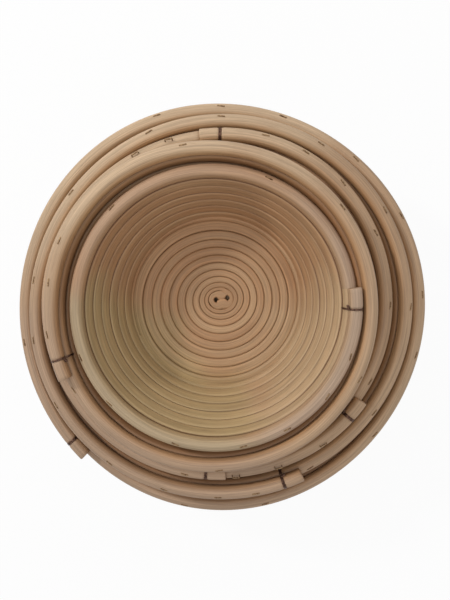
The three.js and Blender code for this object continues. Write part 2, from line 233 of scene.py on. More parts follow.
def section_reach(fullness):
    cos, sin = np.cos(SECTION), np.sin(SECTION)
    power = fullness[:, None]
    reach = (np.abs(cos) ** power + np.abs(sin) ** power) ** (-1 / power)
    return reach * cos, reach * sin


def rows_with_cuts(half_across, cut_start, cut_end):
    last = len(half_across) - 1
    rows = [(i, 1.0, 0.0) for i in range(last + 1)]
    if cut_start:
        rows[:1] = [(0, 1 - CUT_STEP_IN / half_across[0], 0.0), (0, 1.0, CUT_LENGTH)]
    if cut_end:
        rows[-1:] = [(last, 1.0, -CUT_LENGTH), (last, 1 - CUT_STEP_IN / half_across[-1], 0.0)]
    return (np.array(column) for column in zip(*rows))


print("each ring of a cane has", SIDES, "points")


# %% Faces of a cane, with both ends closed
def cane_faces(rows):
    k = np.arange(SIDES)
    following = (k + 1) % SIDES
    last = (rows - 1) * SIDES
    start_hub, end_hub = np.full(SIDES, rows * SIDES), np.full(SIDES, rows * SIDES + 1)
    start_fan = np.stack([start_hub, following, k], 1).tolist()
    end_fan = np.stack([end_hub, last + k, last + following], 1).tolist()
    return tube_faces(rows, SIDES) + start_fan + end_fan


def with_hubs(rings):
    hubs = [rings[0].mean(0, keepdims=True), rings[-1].mean(0, keepdims=True)]
    return np.concatenate([rings.reshape(-1, 3), *hubs])


def sharpen_cuts(mesh, rows):
    ends = np.zeros(len(mesh.edges) * 2, int)
    mesh.edges.foreach_get("vertices", ends)
    ends = ends.reshape(-1, 2)
    at_cut = (ends < SIDES) | ((ends >= (rows - 1) * SIDES) & (ends < rows * SIDES))
    round_a_ring = np.isin(np.abs(ends[:, 0] - ends[:, 1]), (1, SIDES - 1))
    mesh.edges.foreach_set("use_edge_sharp", at_cut.all(1) & round_a_ring)


print("a cane of 3 rings has", len(cane_faces(3)), "faces with its ends")

# %% [markdown]
# Blender could sweep a curve with a bevel, but a mesh made ring by ring lets each vertex also
# remember three things for the wood. "cane" is how far along the cane it lies and where in the
# section, so that the grain follows these straightened coordinates round every bend. "touch" is
# how near it lies to the next turn, where painted shade darkens the groove: above and below in a
# stacked wall, on both sides in a flat floor, and only below on a rim. "shaded" is how hidden the
# turn is, which sets the painted shade inside a hidden wall.

# %% What a vertex remembers
# How strongly the sides of a floor cane get the painted groove shade.
SIDE_TOUCH = 0.93


def touch_share(rim, stacked, above, beside):
    above = -above if rim else np.abs(above)
    return stacked * above + (1 - stacked) * SIDE_TOUCH * np.abs(beside)


def remember(piece, label, kind, values):
    field = "vector" if kind == "FLOAT_VECTOR" else "value"
    layer = piece.data.attributes.new(label, kind, "POINT")
    layer.data.foreach_set(field, values.astype(np.float32).ravel())


print("grime on the side of a floor cane:", touch_share(False, 0.0, 0.0, 1.0))


# %% Wind a cane from its middle line
def wind_cane(name, stands, half_across, half_along, fullness=ROUND_FULLNESS, cut_start=False,
              cut_end=False, grain_start=0.0, stacked=None, flare=0.0, shaded=0.0):
    middle, across, along = stands
    rim = stacked is None
    half_across, half_along, fullness, stacked, flare, shaded = (
        np.broadcast_to(value, len(middle)) for value in (
            half_across, half_along, fullness, 1.0 if rim else stacked, flare, shaded))
    steps = np.diff(middle, axis=0)
    step_lengths = np.linalg.norm(steps, axis=1)
    run = np.concatenate([[0], np.cumsum(step_lengths)])
    index, scale, slide = rows_with_cuts(half_across, cut_start, cut_end)
    lengthwise = (steps / step_lengths[:, None])[np.maximum(index - 1, 0)]

    reach_across, reach_along = section_reach(fullness[index])
    a = (half_across[index] * scale)[:, None] * reach_across
    b = (half_along[index] * scale)[:, None] * reach_along
    wedge = 1 + flare[index, None] * reach_along
    rings = ((middle[index] + slide[:, None] * lengthwise)[:, None]
             + (a * wedge)[..., None] * across[index, None] + b[..., None] * along[index, None])
    distance = np.broadcast_to((run[index] + slide + grain_start)[:, None], a.shape)
    touch = touch_share(rim, stacked[index, None], b / half_along[index, None],
                        a / half_across[index, None])

    piece = mesh_piece(name, with_hubs(rings), cane_faces(len(index)))
    sharpen_cuts(piece.data, len(index))
    remember(piece, "cane", "FLOAT_VECTOR", with_hubs(np.stack([distance, a, b], -1)) * MM)
    remember(piece, "touch", "FLOAT", np.append(touch.ravel(), [0, 0]))
    remember(piece, "shaded", "FLOAT", np.append(np.repeat(shaded[index], SIDES), [0, 0]))
    return piece


print("a cane is", CANE_ACROSS, "mm thick")

# %% [markdown]
# Peeled rattan is a bundle of fine pale fibres with darker pores between them. A picture of it
# would be the quick way, but it would repeat and stretch. So the material builds its colour in
# the straightened coordinates: long soft fibres, threads of several fibres, short dark pores,
# and slow bands where one length of cane is warmer than the next. Colours are written as they
# look, from 0 to 255, and turned into the linear shares that Blender works with.


# %% Colours as a maker writes them
def tone(red, green, blue):
    share = np.array([red, green, blue]) / 255
    linear = np.where(share <= 0.04045, share / 12.92, ((share + 0.055) / 1.055) ** 2.4)
    return (*linear.tolist(), 1.0)


# The pore tone also colours the painted shade in the grooves, and the deep tone is the painted
# shade inside hidden walls.
TAN = dict(pale=tone(204, 174, 139), warm=tone(182, 147, 113), olive=tone(181, 150, 121),
           pore=tone(92, 56, 30), deep=tone(146, 102, 64))
PALE = dict(pale=tone(190, 162, 127), warm=tone(176, 134, 97), olive=tone(178, 153, 112),
            pore=tone(96, 58, 32), deep=tone(150, 110, 74))
PALE_RIM = dict(PALE, pale=tone(184, 160, 134), warm=tone(182, 146, 111),
                olive=tone(176, 156, 123))
print("tan cane:", [round(share, 3) for share in TAN["warm"]])

# %% [markdown]
# Nodes can be placed by hand in the editor, but a tree of fifty is easier to read as code. The
# bench below gives each step a short word: add a node, read an attribute, stretch a noise, ease
# a value between two limits, reckon with two values, blend two colours.


# %% A node tree with short words
class Bench:
    def __init__(self, owner):
        owner.use_nodes = True
        self.owner = owner
        self.tree = owner.node_tree
        self.tree.nodes.clear()

    def put(self, socket, value):
        if isinstance(value, bpy.types.NodeSocket):
            self.tree.links.new(value, socket)
        else:
            socket.default_value = value

    def add(self, kind, values=None, **options):
        node = self.tree.nodes.new(kind)
        for key, value in options.items():
            setattr(node, key, value)
        for key, value in (values or {}).items():
            self.put(node.inputs[key], value)
        return node

    def attribute(self, label, output="Fac"):
        return self.add("ShaderNodeAttribute", attribute_name=label).outputs[output]

    def noise(self, vector, stretch, detail, roughness=0.55):
        spread = self.add("ShaderNodeVectorMath", {0: vector, 1: stretch}, operation="MULTIPLY")
        return self.add("ShaderNodeTexNoise", {
            "Vector": spread.outputs[0], "Scale": 1.0, "Detail": detail,
            "Roughness": roughness}).outputs["Fac"]

    def ease(self, value, low, high, to_low=0.0, to_high=1.0):
        return self.add("ShaderNodeMapRange", {
            "Value": value, "From Min": low, "From Max": high, "To Min": to_low,
            "To Max": to_high}, interpolation_type="SMOOTHSTEP").outputs["Result"]

    def reckon(self, operation, one, other):
        return self.add("ShaderNodeMath", {0: one, 1: other}, operation=operation).outputs[0]

    def blend(self, share, one, other, mode="MIX"):
        node = self.add("ShaderNodeMix", data_type="RGBA", blend_type=mode)
        for index, value in ((0, share), (6, one), (7, other)):
            self.put(node.inputs[index], value)
        return node.outputs[2]


def new_material(name):
    return Bench(bpy.data.materials.new(name))


print("bench words:", [word for word in vars(Bench) if not word.startswith("_")])

# %% [markdown]
# The wood's colour comes in layers. Under all lie the warm and pale bands. Each basket is olive
# towards one side, and paler towards another as painted light: the tan cane towards the upper
# left, where the windows stand, and the innermost basket towards its lower right, where a pool of
# light falls inside it. A side is a direction, and the share of its colour grows along it, with
# soft clouds in its edge. Noise sizes are in waves per metre, first along the cane and then
# across it.

# %% Bands, an olive side and a painted light side
BANDS = ((5.5, 40, 40), 2)
CLOUDS = ((13, 13, 13), 2)
CLOUD_SHIFT = 0.2
SIDE_SOFTNESS = 0.45
MOST_BAND = 0.5
MOST_PAINTED_LIGHT = 0.9


def side_share(bench, place, cloud, side):
    direction, low = side
    dot = bench.add("ShaderNodeVectorMath", {0: place, 1: direction}, operation="DOT_PRODUCT")
    return bench.ease(bench.reckon("ADD", dot.outputs["Value"], cloud), low, low + SIDE_SOFTNESS)


def band_colour(bench, grain, tones, olive_side, painted_light_side):
    place = bench.add("ShaderNodeTexCoord").outputs["Object"]
    cloud = bench.ease(bench.noise(place, *CLOUDS), 0.2, 0.8, -CLOUD_SHIFT, CLOUD_SHIFT)
    bands = bench.ease(bench.noise(grain, *BANDS), 0.3, 0.72, 0.0, MOST_BAND)
    # The pale share here is painted light on the side where the light falls.
    pale = bench.reckon("MULTIPLY", side_share(bench, place, cloud, painted_light_side), MOST_PAINTED_LIGHT)
    colour = bench.blend(bench.reckon("MAXIMUM", bands, pale), tones["warm"], tones["pale"])
    return bench.blend(side_share(bench, place, cloud, olive_side), colour, tones["olive"])


print("bands are about", round(1000 / BANDS[0][0]), "mm long")

# %% [markdown]
# Then comes a tint of painted light over the section: warmer on the side that faces the basket's
# inside, as painted shade, and cooler on its outer upper side, as a painted reflection of the
# room. Walls that stand hidden behind the next basket take a deeper brown inside, as painted
# shade of the narrow gap.

# %% Painted shade and painted reflection across a cane
# Painted light: a warm painted shade on the inner side of the section, and a cool painted
# reflection on its outer upper side.
PAINTED_LIGHT_TINT = ((0.87, 0.74, 0.60, 1.0), (0.90, 0.92, 0.97, 1.0))
PALE_PAINTED_LIGHT_TINT = ((0.92, 0.84, 0.76, 1.0), (0.97, 0.95, 1.0, 1.0))
PAINTED_TINT_FROM = -0.0045
PAINTED_TINT_TO = 0.0043
GAP_SHADE_FROM = -0.0005
GAP_SHADE_TO = -0.0030


def painted_light_colour(bench, grain, colour, tones, painted_tint):
    _, across, along = bench.add("ShaderNodeSeparateXYZ", {0: grain}).outputs
    # Painted shade: the inner side of a hidden wall turns a deeper brown, as in a shaded gap.
    inner = bench.ease(across, GAP_SHADE_FROM, GAP_SHADE_TO)
    deep = bench.reckon("MULTIPLY", inner, bench.attribute("shaded"))
    colour = bench.blend(deep, colour, tones["deep"])
    if painted_tint:
        # Tint of painted light across the section: painted shade inside, painted reflection
        # outside.
        outer = bench.ease(bench.reckon("ADD", across, along), PAINTED_TINT_FROM, PAINTED_TINT_TO)
        colour = bench.blend(1.0, colour, bench.blend(outer, *painted_tint), "MULTIPLY")
    return colour


print("the skin changes over", round(1000 * (PAINTED_TINT_TO - PAINTED_TINT_FROM), 1), "mm of the section")

# %% [markdown]
# Last come the fibres, threads and pores, and a little painted shade in the grooves where turns
# touch. The same fibres give the satin gloss its streaks and the surface its faint relief, which
# a plain colour could never show when the light grazes a cane. Pores, groove shade and gloss are
# each eased with four numbers: from which value to which, and the result at either.

# %% The wood of a peeled cane
FIBRES = ((22, 1500, 1500), 4, 0.6)
THREADS = ((9, 520, 520), 3)
PORES = ((70, 3400, 3400), 2, 0.5)
FIBRE_SHADES = (0.84, 1.12)
THREAD_SHADES = (0.9, 1.06)
PORES_SHOW = (0.6, 0.78, 0.0, 0.45)
# Painted shade in the grooves where turns touch.
GROOVE_SHADE_SHOWS = (0.86, 0.98, 0.0, 0.7)
SATIN = (0.25, 0.8, 0.5, 0.68)
RELIEF_DEPTH = 0.0004


def streak(bench, colour, layer, shades):
    shade = bench.ease(layer, 0.34, 0.66, *shades)
    grey = bench.add("ShaderNodeCombineColor", {0: shade, 1: shade, 2: shade}).outputs[0]
    return bench.blend(1.0, colour, grey, "MULTIPLY")


def cane_wood(name, tones, olive_side, painted_light_side, painted_tint=None):
    bench = new_material(name)
    grain = bench.attribute("cane", "Vector")
    fibres, threads, pores = (bench.noise(grain, *kind) for kind in (FIBRES, THREADS, PORES))
    colour = band_colour(bench, grain, tones, olive_side, painted_light_side)
    colour = painted_light_colour(bench, grain, colour, tones, painted_tint)
    colour = streak(bench, colour, threads, THREAD_SHADES)
    colour = streak(bench, colour, fibres, FIBRE_SHADES)
    colour = bench.blend(bench.ease(pores, *PORES_SHOW), colour, tones["pore"])
    # Painted shade in the grooves where turns touch, in the pore tone.
    groove_shade = bench.ease(bench.attribute("touch"), *GROOVE_SHADE_SHOWS)
    colour = bench.blend(groove_shade, colour, tones["pore"])
    relief = bench.reckon("ADD", bench.reckon("MULTIPLY", fibres, 0.6),
                          bench.reckon("MULTIPLY", threads, 0.7))
    bump = bench.add("ShaderNodeBump", {"Strength": 0.35, "Distance": RELIEF_DEPTH,
                                        "Height": relief})
    wood = bench.add("ShaderNodeBsdfPrincipled", {
        "Base Color": colour, "Roughness": bench.ease(fibres, *SATIN),
        "Normal": bump.outputs[0], "Specular IOR Level": 0.3})
    bench.add("ShaderNodeOutputMaterial", {"Surface": wood.outputs[0]})
    return bench.owner


# The pale side is painted light: towards the upper left on the tan cane, towards the lower right
# inside the innermost basket.
tan_cane = cane_wood("tan_cane", TAN, olive_side=((-3, -4, 0), 0.1),
                     painted_light_side=((-2.6, 4.8, 0), 0.2), painted_tint=PAINTED_LIGHT_TINT)
pale_cane = cane_wood("pale_inner_cane", PALE, olive_side=((-9, -9.5, 0), 0.25),
                      painted_light_side=((7.5, -4.2, 0), 0.12))
pale_rim = cane_wood("pale_rim_cane", PALE_RIM, olive_side=((-8, -9, 0), 0.35),
                     painted_light_side=((8, -2.5, 0), 0.15), painted_tint=PALE_PAINTED_LIGHT_TINT)
print("woods:", tan_cane.name, pale_cane.name, pale_rim.name)

# %% [markdown]
# The innermost basket is of paler cane than the other four. Each piece gets its wood, rides on
# its basket, and stands for the solids of the same cane, so that lifting a basket lifts all of
# it. Every length of cane also has its own stretch of grain, or the same fibres would show up
# on all five rims.

# %% A piece's wood, grain and basket
GRAIN_PER_BASKET = 3100
GRAIN_PER_LAP = 700
GRAIN_OF = {"rim": 0, "wall": -9000, "floor": -20000}


def grain_of(basket, part, lap=0):
    return basket["number"] * GRAIN_PER_BASKET + GRAIN_OF[part] + GRAIN_PER_LAP * lap


def wood_of(basket, part):
    if basket["number"] != INNERMOST:
        return "cane", tan_cane
    return "pale_cane", pale_rim if part == "rim" else pale_cane


def finish_piece(piece, basket, slot, material, *nodes):
    piece.data.materials.append(material)
    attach(piece, basket["name"])
    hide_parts(*nodes)


print("slots of the wood:", [wood_of(basket, "rim")[0] for basket in BASKETS.values()])

# %% [markdown]
# The rim is the part that shows most: the top turn of the coil. Near its end a wire holds it
# down, and the pull of the wire pinches the cane. Dense rings all round would show that too, but
# waste a great many faces, so the rings lie close together only at the wire, where the section
# narrows for a few millimetres.

# %% Rings along a rim, closer at a wire
WIRE_TO_END = 14.5
RIM_STEP = math.radians(1.5)
NEAR_WIRE = np.arange(-5, 5.01, 0.5)
LEAST_STEP = 0.2


def rim_angles(basket, start, end):
    radius = basket["rim"]
    wire = end - WIRE_TO_END / radius
    angles = np.concatenate([[start, end], np.arange(start, end, RIM_STEP),
                             wire + NEAR_WIRE / radius])
    angles = np.unique(np.round(angles[(angles >= start) & (angles <= end)], 6))
    keep = np.concatenate([[True], np.diff(angles) > LEAST_STEP / radius])
    return angles[keep], wire


rings, _ = rim_angles(BASKETS[1], BASKETS[1]["end"] - TURN, BASKETS[1]["end"])
print("the outer rim has", len(rings), "rings")

# %% [markdown]
# The rim cane is the last turn of the coil, cut square past its wire. In the third basket three
# lengths follow each other: each next one starts a little lower, tucked under the end before
# it, and rises to the rim within a hand's length.

# %% Wind the five rims
PINCH = 0.75
PINCH_REACH = 1.3
LAP_DROP = 2.4
LAP_REACH = 0.6


def rim_angle(basket, degrees):
    start = basket["end"] - TURN
    return start + (math.radians(degrees) - start) % TURN


def wind_rims(basket):
    name = basket["name"]
    ends = [rim_angle(basket, lap) for lap in basket["laps"]] + [basket["end"]]
    start = basket["end"] - TURN
    basket["wires"] = []
    for i, end in enumerate(ends):
        angles, wire = rim_angles(basket, start, end)
        lowered = LAP_DROP * np.exp(-((angles - start) / LAP_REACH) ** 2) if i else 0.0
        pinch = PINCH * np.exp(-((angles - wire) * basket["rim"] / PINCH_REACH) ** 2)
        suffix = f"_{i + 1}" if len(ends) > 1 else ""
        rim = wind_cane(f"{name}_rim{suffix}", coil_stand(basket, angles, lowered),
                        CANE_ACROSS / 2 - pinch, CANE_ALONG / 2 - pinch, cut_start=i > 0,
                        cut_end=True, grain_start=grain_of(basket, "rim", i))
        finish_piece(rim, basket, *wood_of(basket, "rim"), f"{name}_rim_cane{suffix}")
        basket["wires"].append(wire)
        start = end
    print(name, "rim wound in", len(ends), "length(s)")


for basket in BASKETS.values():
    wind_rims(basket)

# %% [markdown]
# The wall is the same coil, six to eight turns of it, from the foot up to where the rim begins.
# It shows less than the rim, so it can do with fewer rings. The innermost wall is pressed and
# worn almost flat inside, with thin grooves, and turns round again towards its foot and its rim.
# The others stay rounder.

# %% Wind the five walls
WALL_STEP = math.radians(2.5)
FLAT_FULLNESS = 6.5
FOOT_FULLNESS = 3.0
ROUND_AGAIN = 2.5
# How much painted shade the inside of a hidden wall gets.
HIDDEN_SHADE = 0.5
SHADE_FADE = 0.6


def wind_wall(basket):
    name = basket["name"]
    innermost = basket["number"] == INNERMOST
    stop = basket["end"] - TURN
    angles = np.append(np.arange(basket["start"], stop, WALL_STEP), stop)
    flat = FLAT_FULLNESS if innermost else FOOT_FULLNESS
    fullness = flat + (ROUND_FULLNESS - flat) * smooth(-ROUND_AGAIN, 0, angles - stop)
    fullness += (FOOT_FULLNESS - flat) * (1 - smooth(0, TURN, angles - basket["start"]))
    # Hidden walls get painted shade inside, fading out towards the rim.
    shaded = 0.0 if innermost else HIDDEN_SHADE * smooth(0, SHADE_FADE, stop - angles)
    wall = wind_cane(f"{name}_wall", coil_stand(basket, angles), CANE_ACROSS / 2,
                     CANE_ALONG / 2, fullness=fullness, stacked=1.0, shaded=shaded,
                     grain_start=grain_of(basket, "wall"))
    finish_piece(wall, basket, *wood_of(basket, "wall"), f"{name}_wall_coil")
    print(name, "wall:", round((stop - basket["start"]) / TURN, 2), "turns")


for basket in BASKETS.values():
    wind_wall(basket)

# %% [markdown]
# The floor is a flat spiral. Its cane is as wide as the wall's where it turns up into the wall
# and slimmer inside, so the spacing of the turns falls from nine millimetres to about six, and
# further still at the heart. A plain spiral formula has one spacing, so here the grooves
# between the turns are laid out from the wall inwards by adding up the spacing.

# %% The grooves between the floor's turns
OUTER_TURNS = 1.6
HEART_PITCH = 1.6
HEART_FADE = 2.6
HEART_RADIUS = 7.6


def groove_radius(basket, turns_in, total, plain):
    grid = np.linspace(0, total + 1, 3000)
    outer = (TURN_PITCH - plain) * (1 - smooth(0.0, OUTER_TURNS, grid))
    inner = (plain - HEART_PITCH) * np.exp((grid - total - 1) / HEART_FADE)
    spacing = plain + outer - inner
    steps = np.diff(grid) * (spacing[1:] + spacing[:-1]) / 2
    travelled = np.concatenate([[0], np.cumsum(steps)])
    return basket["foot"] + TURN_PITCH / 2 - np.interp(turns_in, grid, travelled)


outermost_groove = groove_radius(BASKETS[1], np.array([0.0]), 9, 6.2)[0]
print("the outer floor starts at", round(float(outermost_groove), 1), "mm from its middle")

# %% [markdown]
# How many turns fit follows from the room between foot and heart, and the thin turns at the
# heart save a little of it. The spacing in between is found by halving, so that the spiral
# reaches the heart just where the first bend of the cane begins. Every heart is turned another
# way, as no maker starts twice in the same place, and the innermost lies a little off the middle.

# %% Lay out the five floors
FLOOR_PITCH = 6.5
HEART_SAVES = 8
LEAST_PITCH, MOST_PITCH = 4.5, 9.0
HALVINGS = 40
HEART_DIRECTION = math.radians(90)
HEART_TILT = math.radians(70)
INNERMOST_TILT = math.radians(7.5)
INNERMOST_DRIFT = np.array((2.2, 2.1))


def lay_out_floor(basket):
    part_turn = (basket["start"] - HEART_DIRECTION - basket["heart_tilt"]) / TURN % 1
    turns = (basket["foot"] - HEART_RADIUS + HEART_SAVES) / FLOOR_PITCH
    total = part_turn + round(turns - part_turn)
    low, high = LEAST_PITCH, MOST_PITCH
    for _ in range(HALVINGS):
        plain = (low + high) / 2
        reach = groove_radius(basket, np.array([total + 1]), total, plain)[0]
        low, high = (plain, high) if reach > HEART_RADIUS else (low, plain)
    return total, plain


for number, basket in BASKETS.items():
    innermost = number == INNERMOST
    basket["heart_tilt"] = INNERMOST_TILT if innermost else HEART_TILT * number
    basket["drift"] = INNERMOST_DRIFT if innermost else np.zeros(2)
    basket["floor_turns"], basket["floor_plain"] = lay_out_floor(basket)
    print(basket["name"], "floor:", round(basket["floor_turns"], 2), "turns of",
          round(basket["floor_plain"], 2), "mm")

# %% [markdown]
# A thick cane can't be bent to a point. The maker whittles its first few centimetres, folds them
# into a tight hairpin and winds the spiral round that. The cane stays thick in the two legs and
# is squeezed thin in the bends, which leaves two small dark holes in the middle of every floor
# and makes the first turns a little oval. The hairpin is a row of listed points, each with
# its two places and the cane's width in millimetres, and a spline through them rounds it.

# %% The hairpin in the middle
HAIRPIN = np.array([
    (6.3, 3.1, 1.4), (5.2, 3.4, 2.5), (3.8, 3.3, 5.0), (2.6, 3.1, 7.1), (1.5, 3.1, 7.8),
    (0.2, 3.4, 7.2), (-2.2, 4.1, 4.9), (-5.3, 3.1, 4.1), (-6.65, 0.0, 4.1), (-5.2, -3.3, 4.3),
    (-2.4, -4.6, 6.1), (-0.1, -3.9, 8.0), (1.6, -3.6, 8.8), (3.5, -4.1, 7.7), (5.4, -4.3, 6.2),
    (7.4, -3.1, 4.9), (8.7, 0.3, 2.9), (7.6, 3.4, 4.1), (5.2, 5.6, 3.7), (2.75, 7.5, 2.9)])


def smooth_through(points, count):
    padded = np.concatenate([[2 * points[0] - points[1]], points, [2 * points[-1] - points[-2]]])
    where = np.linspace(0, len(points) - 1 - 1e-9, count)
    index = where.astype(int)
    t = (where - index)[:, None]
    a, b, c, d = (padded[index + k] for k in range(4))
    return 0.5 * (2 * b + (c - a) * t + (2 * a - 5 * b + 4 * c - d) * t ** 2
                  + (3 * b - a - 3 * c + d) * t ** 3)


def turned_heart(basket):
    cos, sin = math.cos(basket["heart_tilt"]), math.sin(basket["heart_tilt"])
    heart = HAIRPIN.copy()
    heart[:, :2] = HAIRPIN[:, :2] @ np.array([[cos, sin], [-sin, cos]]) + basket["drift"]
    return heart


print("the hairpin's cane is", HAIRPIN[:, 2].min(), "to", HAIRPIN[:, 2].max(), "mm wide")

# %% [markdown]
# The floor's cane lies between one groove and the next, so its middle and its width both come
# from the two grooves beside it. Hairpin and spiral together make one path from the cut start
# of the cane to the foot of the wall.

# %% The floor's path on the ground
HEART_OVAL = 0.8
OVAL_TURNS = 3
FLOOR_RINGS_PER_TURN = 120
HAIRPIN_RINGS = 190


def groove(basket, turns_in):
    total, tilt = basket["floor_turns"], basket["heart_tilt"]
    angle = basket["start"] - TURN * turns_in
    radius = groove_radius(basket, turns_in, total, basket["floor_plain"])
    radius += HEART_OVAL * np.cos(2 * (angle - tilt)) * smooth(0, OVAL_TURNS, turns_in)
    radius += (waver(basket["number"], angle, FLOOR_WAVER) * smooth(0, 1, turns_in)
               * smooth(0, 2, total - turns_in))
    drift = smooth(0, total, turns_in)[:, None] * basket["drift"]
    return np.stack([radius * np.cos(angle), radius * np.sin(angle)], 1) + drift


def floor_path(basket):
    total = basket["floor_turns"]
    turns_in = np.linspace(total, 0, int(total * FLOOR_RINGS_PER_TURN))
    outside, inside = groove(basket, turns_in), groove(basket, turns_in + 1)
    width = np.linalg.norm(outside - inside, axis=1)
    spiral = np.column_stack([(outside + inside) / 2, width])
    heart_and_first = np.concatenate([turned_heart(basket), spiral[:1]])
    path = np.concatenate([smooth_through(heart_and_first, HAIRPIN_RINGS)[:-1], spiral])
    in_heart = np.full(len(path) - len(turns_in), total)
    return path[:, :2], path[:, 2], np.concatenate([in_heart, turns_in])


flat, width, _ = floor_path(BASKETS[INNERMOST])
print("the innermost floor's cane is", round(width[-1], 2), "mm wide at the wall")

# %% [markdown]
# Where the floor meets the wall, the section leans more with every step, from upright in the
# floor to the slope of the wall. It is also a little wider above than below there, so that
# neighbouring turns stay pressed together. The last sum finds how low such a leaning section
# reaches, and lifts each turn until it just rests on the ground.

# %% Wind the five floors
LEAN_TURNS = 2.6
FLOOR_LIFT = 0.05
SNUG = 0.02


def floor_slope(turns_in):
    return WALL_SLOPE + (math.pi / 2 - WALL_SLOPE) * smooth(0, LEAN_TURNS, turns_in)


def floor_stand(basket, flat, width, fullness, turns_in):
    lengthwise = np.gradient(flat, axis=0)
    lengthwise /= np.linalg.norm(lengthwise, axis=1)[:, None]
    out = np.stack([lengthwise[:, 1], -lengthwise[:, 0]], 1)
    slope = floor_slope(turns_in)
    cos, sin = np.cos(slope), np.sin(slope)
    dual = fullness / (fullness - 1)
    z = ((width / 2 * cos) ** dual + (FLOOR_HEIGHT / 2 * sin) ** dual) ** (1 / dual)
    middle = np.column_stack([flat + basket["centre"], basket["base"] + z + FLOOR_LIFT])
    across = np.column_stack([out * sin[:, None], -cos])
    along = np.column_stack([out * cos[:, None], sin])
    return middle, across, along


def wind_floor(basket):
    name = basket["name"]
    flat, width, turns_in = floor_path(basket)
    fullness = FOOT_FULLNESS + (FLAT_FULLNESS - FOOT_FULLNESS) * smooth(0, 1, turns_in)
    lean_change = floor_slope(turns_in + 0.5) - floor_slope(turns_in - 0.5)
    floor = wind_cane(f"{name}_floor", floor_stand(basket, flat, width, fullness, turns_in),
                      width / 2 + SNUG, FLOOR_HEIGHT / 2, fullness=fullness, cut_start=True,
                      stacked=1 - smooth(0, 1, turns_in), grain_start=grain_of(basket, "floor"),
                      flare=np.tan(lean_change / 2) * FLOOR_HEIGHT / width)
    finish_piece(floor, basket, *wood_of(basket, "floor"), f"{name}_floor_coil")
    print(name, "floor wound from", len(width), "rings")


for basket in BASKETS.values():
    wind_floor(basket)

# %% [markdown]
# Each rim cane is tied down to the turn below it with a twist of dark iron wire. Wires and
# staples are small tubes with flat ends, several of which make one piece. A tube's rings must
# not spin on their way round a loop, so each ring's side is carried over from the one before it.


# %% A round wire along a path
def closed_tube_faces(rows, sides):
    ring = list(range(sides))
    last = (rows - 1) * sides
    return tube_faces(rows, sides) + [ring[::-1], [last + k for k in ring]]


def wire_tube(path, diameter, sides=8):
    path = np.asarray(path, float)
    lengthwise = np.gradient(path, axis=0)
    lengthwise /= np.linalg.norm(lengthwise, axis=1)[:, None]
    side = np.cross(lengthwise[0], [0.3, 0.5, 0.8])
    turn = np.linspace(0, TURN, sides, endpoint=False)
    rings = []
    for point, forward in zip(path, lengthwise):
        side = side - forward * side.dot(forward)
        side /= np.linalg.norm(side)
        other = np.cross(forward, side)
        rings.append(point + diameter / 2 * (np.outer(np.cos(turn), side)
                                             + np.outer(np.sin(turn), other)))
    return np.concatenate(rings), closed_tube_faces(len(path), sides)


def joined(tubes):
    points, faces, offset = [], [], 0
    for more_points, more_faces in tubes:
        points.append(more_points)
        faces += [[index + offset for index in face] for face in more_faces]
        offset += len(more_points)
    return np.concatenate(points), faces


print("a short wire has", len(wire_tube([(0, 0, 0), (1, 0, 0), (2, 0, 0)], 1)[0]), "points")

# %% [markdown]
# The tie wire is iron that has gone brown and dull, and the staples are lighter steel with a
# brown bloom. Both are the same metal with spots of a darker tone, fine scratches in the gloss
# and a pitted surface, so one function makes the two.


# %% Dark iron wire and aged staples
def metal(name, light, dark, roughness):
    bench = new_material(name)
    place = bench.add("ShaderNodeTexCoord").outputs["Object"]
    spots = bench.noise(place, (900, 900, 900), 3)
    scratches = bench.noise(place, (4000, 4000, 500), 2)
    colour = bench.blend(bench.ease(spots, 0.35, 0.65), dark, light)
    gloss = bench.ease(scratches, 0.3, 0.7, roughness, roughness + 0.2)
    bump = bench.add("ShaderNodeBump", {"Strength": 0.2, "Distance": 0.0001, "Height": spots})
    steel = bench.add("ShaderNodeBsdfPrincipled", {
        "Base Color": colour, "Metallic": 0.7, "Roughness": gloss, "Normal": bump.outputs[0]})
    bench.add("ShaderNodeOutputMaterial", {"Surface": steel.outputs[0]})
    return bench.owner


iron = metal("dark_tie_wire", tone(112, 82, 66), tone(58, 38, 28), 0.35)
staple_steel = metal("aged_staple_steel", tone(158, 130, 96), tone(104, 78, 54), 0.4)
print("metals:", iron.name, staple_steel.name)

# %% [markdown]
# The wire runs over the pinched rim, down the outside, under the turn below and up again on the
# inside, where its two ends are twisted together. A ring round the rim alone would be simpler,
# but it would hold nothing. The path follows half of each cane's section.

# %% The wire's loop and its twisted ends
WIRE_DIAMETER = 1.3
WIRE_SITS = 0.45 * WIRE_DIAMETER
LOOP_POINTS = 15
TWIST_LENGTH = 3.2
TWIST_RADIUS = 0.55
TWIST_TAPER = 0.3
TWIST_TURNS = 1.7
TWIST_POINTS = 26


def half_loop(stand, reach_out, reach_up, turns):
    middle, out, up = stand
    return [middle + out * reach_out * math.cos(turn) + up * reach_up * math.sin(turn)
            for turn in turns]


def wire_loop(basket, angle):
    upper, lower = ([part[0] for part in coil_stand(basket, place)]
                    for place in (angle, angle - TURN))
    out, up = CANE_ACROSS / 2 + WIRE_SITS, CANE_ALONG / 2 + WIRE_SITS
    path = half_loop(upper, out - PINCH, up - PINCH, np.linspace(math.pi, 0, LOOP_POINTS))
    path += half_loop(lower, out, up, np.linspace(0, -math.pi, LOOP_POINTS))
    path.append(path[0] + (path[-1] - path[0]) * 0.12)
    return np.array(path), upper[1], upper[2]


def twisted_ends(start, direction, side):
    other = np.cross(direction, side)
    t = np.linspace(0, 1, TWIST_POINTS)
    radius = TWIST_RADIUS * (1 - TWIST_TAPER * t)
    strands = []
    for phase in (0, math.pi):
        angle = phase + t * TURN * TWIST_TURNS
        strands.append(start + np.outer(t * TWIST_LENGTH, direction)
                       + np.outer(radius * np.cos(angle), side)
                       + np.outer(radius * np.sin(angle), other))
    return strands


